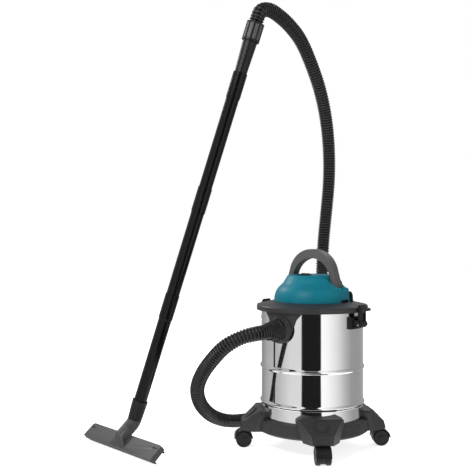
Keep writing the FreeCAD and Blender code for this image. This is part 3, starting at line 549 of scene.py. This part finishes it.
class VACUUM_OT_hose(bpy.types.Operator):
    """Make the corrugated hose along its line"""

    bl_idname = "vacuum.hose"
    bl_label = "Hose"

    def execute(self, context):
        sizes = context.scene.vacuum_sizes
        outer, inner, sides, per_rib = 19.5 * MM, 15.8 * MM, 36, 6
        points, run = hose_line()
        ribs = round(run[-1] / sizes.rib_pitch)
        along = np.linspace(0, run[-1], ribs * per_rib + 1)
        centres = np.stack([np.interp(along, run, points[:, k]) for k in range(3)], 1)
        heading = unit(np.gradient(centres, axis=0))
        side = unit(np.array([1.0, 0, 0]) - heading * heading[:, :1])
        up = np.cross(heading, side)
        # radius = outer - depth * ((1 - cos(phase)) / 2) ** 1.2: round crests and grooves
        phase = 2 * math.pi * ribs * along / run[-1]
        groove = ((1 - np.cos(phase)) / 2) ** 1.2
        radius = outer - sizes.rib_depth * groove
        angle = np.linspace(0, 2 * math.pi, sides, endpoint=False)
        circle = np.stack([np.cos(angle), np.sin(angle)], 1)
        skin = swept_grid(centres, side, up, radius[:, None, None] * circle)
        lining = swept_grid(centres[::-per_rib], side[::-per_rib], up[::-per_rib],
                            np.full((ribs + 1, 1, 1), inner) * circle)
        # The crest level of each skin row feeds the hose finish: painted highlight on the crests,
        # painted shade in the grooves.
        skin_mesh = joined_mesh("corrugated_hose", [(skin, False), (lining, False)],
                                [1 - groove, np.zeros(ribs + 1)])
        bridge_ends(skin_mesh)
        piece = finished("corrugated_hose", skin_mesh, ["suction_hose"], 80.0)
        return {"FINISHED"}


def bridge_ends(mesh):
    """Closes the gaps between the skin's and the lining's open ends."""
    work = bmesh.new()
    work.from_mesh(mesh)
    rims = [edge for edge in work.edges if edge.is_boundary]
    middle = sum((edge.verts[0].co for edge in rims), Vector()) / len(rims)
    start = np.array(HOSE_ROUTE[0]) * MM + AXIS
    near = [edge for edge in rims
            if (edge.verts[0].co - Vector(start)).length < (middle - Vector(start)).length]
    far = [edge for edge in rims if edge not in set(near)]
    for ring in (near, far):
        bmesh.ops.bridge_loops(work, edges=ring)
    bmesh.ops.recalc_face_normals(work, faces=work.faces)
    work.to_mesh(mesh)
    work.free()


# ---- drum --------------------------------------------------------------------------
def drum_profile():
    """Half section of the drum's wall: outside up, over the rim, inside down."""
    outer, wall, corner, bead, half = 140.0, 1.0, 10.0, 4.0, 7.5
    low, high = DRUM_LOW[2] / MM, DRUM_HIGH[2] / MM
    lean = np.linspace(-math.pi / 2, 0, 12)
    rows = []
    for inset in (0.0, wall):
        foot = np.stack([outer - corner + (corner - inset) * np.cos(lean),
                         low + corner + (corner - inset) * np.sin(lean)], 1)
        side = [foot]
        for middle in (129.0, 224.0):
            height = np.linspace(-half, half, 17)
            # bead: proud * (cos of its share of a half turn) squared
            swell = bead * np.cos(math.pi / 2 * height / half) ** 2
            side.append(np.stack([outer - inset + swell, middle + height], 1))
        side.append([[outer - inset, high]])
        rows.append(np.vstack([[[0, low + inset]], *side]))
    return np.vstack([rows[0], rows[1][::-1]]) * MM


class VACUUM_OT_drum(bpy.types.Operator):
    """Make the drum and its moulded top ring with the inlet plate"""

    bl_idname = "vacuum.drum"
    bl_label = "Drum"

    def execute(self, context):
        steps = context.scene.vacuum_sizes.round_steps
        lathe("drum_wall", "drum_shell", [(drum_profile(), False)], AXIS, UP, steps, 40.0)
        softened("drum_top_ring", 0.8 * MM)
        return {"FINISHED"}


# ---- lid and cover -------------------------------------------------------------------
class VACUUM_OT_head(bpy.types.Operator):
    """Make the lid, the cover, the exhaust wall, the grilles and the switch"""

    bl_idname = "vacuum.head"
    bl_label = "Head"

    def execute(self, context):
        edge = context.scene.vacuum_sizes.edge
        softened("head_base", edge)
        softened("head_cover", 1.2 * MM, 3, 42.0)
        for node in ("exhaust_housing", "vent_grilles", "switch_bezel", "switch_rocker"):
            softened(node, 0.4 * MM, 2)
        return {"FINISHED"}


# ---- handle --------------------------------------------------------------------------
class VACUUM_OT_handle(bpy.types.Operator):
    """Make the carrying handle: a horseshoe band that thickens at the top"""

    bl_idname = "vacuum.handle"
    bl_label = "Handle"

    def execute(self, context):
        softened("handle", 2.4 * MM, 4)
        return {"FINISHED"}


class VACUUM_OT_latches(bpy.types.Operator):
    """Make the two latches and their brackets"""

    bl_idname = "vacuum.latches"
    bl_label = "Latches"

    def execute(self, context):
        for side in ("left", "right"):
            softened("latch_clip_" + side, 1.0 * MM)
            softened("latch_bracket_" + side, 0.7 * MM)
        return {"FINISHED"}


# ---- inlet ---------------------------------------------------------------------------
class VACUUM_OT_inlet(bpy.types.Operator):
    """Make the inlet socket and the stepped hose connector"""

    bl_idname = "vacuum.inlet"
    bl_label = "Inlet"

    def execute(self, context):
        softened("inlet_socket", 0.8 * MM)
        centre = AXIS + np.array([0, 0, 333.0]) * MM
        outward = np.array([0.0, -1.0, 0.0])
        outline = [(20.7, 150), (20.7, 161.2), (30, 161.2), (30, 171), (27.5, 171.2), (26, 176),
                   (25, 176.2), (23.8, 190), (23, 190.4), (23, 200), (17.25, 200), (17.25, 150)]
        lathe("inlet_connector", "hose_connector",
              [closed_outline(np.array(outline) * MM, 1.2 * MM)], centre, outward)
        return {"FINISHED"}


# ---- wand ------------------------------------------------------------------------------
class VACUUM_OT_wand(bpy.types.Operator):
    """Make the three push-fit tubes, the cuff, the grip and the nozzle's collar"""

    bl_idname = "vacuum.wand"
    bl_label = "Wand"

    def execute(self, context):
        for name, start, end in (("bottom", 18.5, 368.0), ("middle", 308.0, 670.0),
                                 ("top", 610.0, 989.0)):
            self.tube(name, start, end)
        cuff = [(17.58, 944), (17.58, 989.4), (16.9, 989.6),
                (19.6, 1076), (14.5, 1076), (14.5, 944)]
        self.turn("wand_cuff_skin", "wand_cuff", cuff, 0.8)
        collar = [(19.3, 10), (20.3, 36), (21.2, 64), (17.75, 64), (17.75, 18), (15, 18), (15, 10)]
        self.turn("nozzle_collar_skin", "nozzle_collar", collar, 1.0)
        self.grip()
        return {"FINISHED"}

    def grip(self):
        """The hose's grip, with a softer finish on the flats round it: the faces whose
        middles lie between two radii and whose normals point away from the axis."""
        piece = softened("hose_grip", 0.3 * MM, 2)
        mesh = piece.data
        middle, normal = np.empty((2, len(mesh.polygons) * 3))
        mesh.polygons.foreach_get("center", middle)
        mesh.polygons.foreach_get("normal", normal)
        arm = middle.reshape(-1, 3) - WAND_FOOT
        arm = arm - (arm @ WAND_DIR)[:, None] * WAND_DIR
        reach = np.linalg.norm(arm, axis=1)
        outward = np.sum(normal.reshape(-1, 3) * arm, axis=1) / np.maximum(reach, 1e-9)
        flats = (outward > 0.97) & (reach > 21.5 * MM) & (reach < 23.2 * MM)
        mesh.materials.append(FINISHES["grip_pad"])
        mesh.polygons.foreach_set("material_index", flats.astype(np.int32))

    def tube(self, name, start, end):
        """One tube: plain below, and a wider socket with a lip at its upper end."""
        neck = end - 67.0
        outline = [(17.7, start), (17.7, neck - 6), (19.2, neck), (19.2, end), (17.7, end),
                   (17.7, neck + 5), (16, neck + 5), (16, start)]
        self.turn("tube_" + name, "wand_tube_" + name, outline, 1.2)

    def turn(self, name, node, outline, radius):
        lathe(name, node, [closed_outline(np.array(outline, float) * MM, radius * MM)],
              WAND_FOOT, WAND_DIR, 96)


# ---- nozzle ------------------------------------------------------------------------------
class VACUUM_OT_nozzle(bpy.types.Operator):
    """Make the floor nozzle, its strips and end clips"""

    bl_idname = "vacuum.nozzle"
    bl_label = "Nozzle"

    def execute(self, context):
        softened("nozzle_body", 1.2 * MM)
        softened("nozzle_blades", 0.4 * MM, 2)
        softened("blade_clips", 0.6 * MM, 2)
        return {"FINISHED"}


# ---- base and castors ------------------------------------------------------------------
class VACUUM_OT_base(bpy.types.Operator):
    """Make the castor base and the round caps on its legs"""

    bl_idname = "vacuum.base"
    bl_label = "Base"

    def execute(self, context):
        softened("castor_base", 1.0 * MM)
        softened("base_legs", 1.4 * MM)
        softened("leg_caps", 0.4 * MM, 2)
        return {"FINISHED"}


def wheel_outline():
    """A castor wheel's half section from its hub to its tread, in (radius, distance)."""
    return [(3.05, 12), (3.05, 0), (20.5, 0), (22, 2.5), (22, 10.5), (20.4, 13), (18.6, 13),
            (17.6, 11.4), (7.4, 11.4), (6.6, 12.8), (0, 13)]


class VACUUM_OT_castors(bpy.types.Operator):
    """Make the twin wheels and the guard of each castor"""

    bl_idname = "vacuum.castors"
    bl_label = "Castors"

    def execute(self, context):
        for place in PLACES:
            self.wheels(place)
            softened("castor_hood_" + place, 0.7 * MM)
        return {"FINISHED"}

    def wheels(self, place):
        roll = JOINTS["roll_" + place]
        hub, axle = np.array(roll["pos_m"]), unit(roll["axis"])
        gap = 7.0 * MM
        outline = rounded(np.vstack([[0, 12.1], wheel_outline()]) * MM, 1.0 * MM)
        grids = [(turned_grid(outline, hub + axle * gap * side, axle * side, 64), False)
                 for side in (-1, 1)]
        name = "wheels_" + place
        finished(name, joined_mesh(name, grids), ["castor_wheels_" + place], 35.0)


# ---- what is inside ------------------------------------------------------------------
class VACUUM_OT_finishes(bpy.types.Operator):
    """Make every finish and give each CAD node the finish of its material slot"""

    bl_idname = "vacuum.finishes"
    bl_label = "Finishes"

    def execute(self, context):
        FINISHES.update(make_finishes())
        for name, node in frame["nodes"].items():
            node.data.materials.clear()
            node.data.materials.append(FINISHES[SLOTS[name]])
            node.data.set_sharp_from_angle(angle=math.radians(32))
        return {"FINISHED"}


# ---- studio --------------------------------------------------------------------------
# Brightness of the studio's flats by angle, in degrees to the right of the camera.
FLATS = [
    (-180, 0.50), (-135, 0.33), (-106, 0.55), (-75, 0.60), (-45, 0.88), (-22, 0.90), (-20, 0.015),
    (17, 0.015), (19, 1.3), (33, 1.2), (55, 0.9), (71, 0.6), (89, 0.40), (110, 0.38), (140, 0.42),
    (180, 0.50),
]


class VACUUM_OT_stage(bpy.types.Operator):
    """Lay the pale floor and set the soft studio light"""

    bl_idname = "vacuum.stage"
    bl_label = "Stage"

    def execute(self, context):
        self.floor()
        self.backdrop()
        self.screen()
        self.world(context)
        # name, then steps ahead of the drum's axis, to the right and up, size and power
        lights = (("key", (1.9, -1.1, 2.1), 0.7, 44.0), ("fill", (0.6, 2.4, 1.9), 0.9, 5.0),
                  ("rim", (-1.3, -2.0, 1.9), 0.5, 26.0), ("rear", (-2.4, 0.8, 2.3), 1.2, 26.0))
        for name, (ahead, right, up), size, power in lights:
            self.light(name, AXIS + AHEAD * ahead + RIGHT * right + UP * up, size, power)
        return {"FINISHED"}

    def put(self, name, corners, faces, finish):
        mesh = bpy.data.meshes.new(name)
        mesh.from_pydata(np.asarray(corners).tolist(), [], np.asarray(faces).tolist())
        mesh.materials.append(finish.material)
        thing = bpy.data.objects.new(name, mesh)
        bpy.context.scene.collection.objects.link(thing)
        return thing

    def floor(self):
        reach = 9.0
        finish = Finish("floor", (0.9, 0.9, 0.9), 0.7)
        finish.set("Base Color", finish.tint(finish.noise(3.0), (0.88, 0.88, 0.88),
                                             (0.92, 0.92, 0.92)))
        finish.set("Emission Color", (1, 1, 1, 1))
        finish.set("Emission Strength", 0.78)
        self.put("floor", reach * np.array([(-1, -1, 0), (1, -1, 0), (1, 1, 0), (-1, 1, 0)]),
                 [(0, 1, 2, 3)], finish)

    def backdrop(self):
        """A white dome over the floor: a ball's skin, which lights nothing by itself."""
        outline = np.array([[8.9 * math.cos(a), 8.9 * math.sin(a) - 0.05]
                            for a in np.linspace(0, math.pi / 2, 13)])
        grid = turned_grid(outline, AXIS, UP, 48)
        finish = Finish("backdrop", (0, 0, 0), 1.0, gloss=0.0)
        finish.set("Emission Color", (1, 1, 1, 1))
        finish.set("Emission Strength", 1.0)
        dome = self.put("backdrop", grid.reshape(-1, 3), grid_faces(*grid.shape[:2]), finish)
        dome.visible_diffuse = dome.visible_glossy = dome.visible_shadow = False

    def screen(self):
        """Studio flats round the vacuum, bright and dark by turns, that only reflections
        show.  Point (a, k) lies at
        axis + radius_k * (cos a * ahead + sin a * right) + height_k."""
        turns, levels = np.array(FLATS).T
        angle = np.radians(np.arange(-180, 180, 1.0))
        ring = np.cos(angle)[:, None] * AHEAD + np.sin(angle)[:, None] * RIGHT
        radius, height = np.array([(0.3, 0.001), (0.8, 0.001), (0.8, 1.6)]).T
        grid = AXIS + radius[:, None, None] * ring + height[:, None, None] * UP
        finish = Finish("screen", (0, 0, 0), 1.0, gloss=0.0)
        finish.set("Emission Color", finish.node(
            "ShaderNodeAttribute", {"attribute_name": "level"}, {}, "Color"))
        finish.set("Emission Strength", 1.0)
        flats = self.put("screen", grid.reshape(-1, 3), grid_faces(*grid.shape[:2]), finish)
        level = np.tile(np.interp(np.degrees(angle), turns, levels), len(radius))
        colours = flats.data.color_attributes.new("level", "FLOAT_COLOR", "POINT")
        colours.data.foreach_set("color", np.repeat(level, 4).astype(np.float32))
        flats.visible_camera = flats.visible_diffuse = flats.visible_shadow = False

    def world(self, context):
        world = bpy.data.worlds.new("studio")
        world.use_nodes = True
        world.node_tree.nodes["Background"].inputs["Color"].default_value = (1, 1, 1, 1)
        world.node_tree.nodes["Background"].inputs["Strength"].default_value = 0.36
        context.scene.world = world
        context.scene.view_settings.view_transform = "Standard"

    def light(self, name, place, size, power):
        data = bpy.data.lights.new(name, "AREA")
        data.size, data.energy = size, power
        lamp = bpy.data.objects.new(name, data)
        lamp.location = place
        aim = Vector(AXIS + UP * 0.4) - Vector(place)
        lamp.rotation_euler = aim.to_track_quat("-Z", "Y").to_euler()
        bpy.context.scene.collection.objects.link(lamp)


class VACUUM_PT_panel(bpy.types.Panel):
    """Lists the vacuum's settings and the steps that make it"""

    bl_idname = "VACUUM_PT_panel"
    bl_label = "Shop vacuum"
    bl_space_type = "VIEW_3D"
    bl_region_type = "UI"
    bl_category = "Vacuum"

    def draw(self, context):
        for settings in (context.scene.vacuum_sizes, context.scene.vacuum_colours):
            for name in settings.__annotations__:
                self.layout.prop(settings, name)
        for step in STEPS:
            self.layout.operator(step.bl_idname)


STEPS = (VACUUM_OT_camera, VACUUM_OT_finishes, VACUUM_OT_hose, VACUUM_OT_drum, VACUUM_OT_head,
         VACUUM_OT_handle, VACUUM_OT_latches, VACUUM_OT_inlet, VACUUM_OT_wand,
         VACUUM_OT_nozzle, VACUUM_OT_base, VACUUM_OT_castors, VACUUM_OT_stage)
CLASSES = (VacuumSizes, VacuumColours, *STEPS, VACUUM_PT_panel)


def register():
    for kind in CLASSES:
        bpy.utils.register_class(kind)
    bpy.types.Scene.vacuum_sizes = bpy.props.PointerProperty(type=VacuumSizes)
    bpy.types.Scene.vacuum_colours = bpy.props.PointerProperty(type=VacuumColours)


def unregister():
    del bpy.types.Scene.vacuum_colours
    del bpy.types.Scene.vacuum_sizes
    for kind in reversed(CLASSES):
        bpy.utils.unregister_class(kind)


def main():
    register()
    for step in STEPS:
        group, name = step.bl_idname.split(".")
        getattr(getattr(bpy.ops, group), name)()


if __name__ == "__main__":
    main()
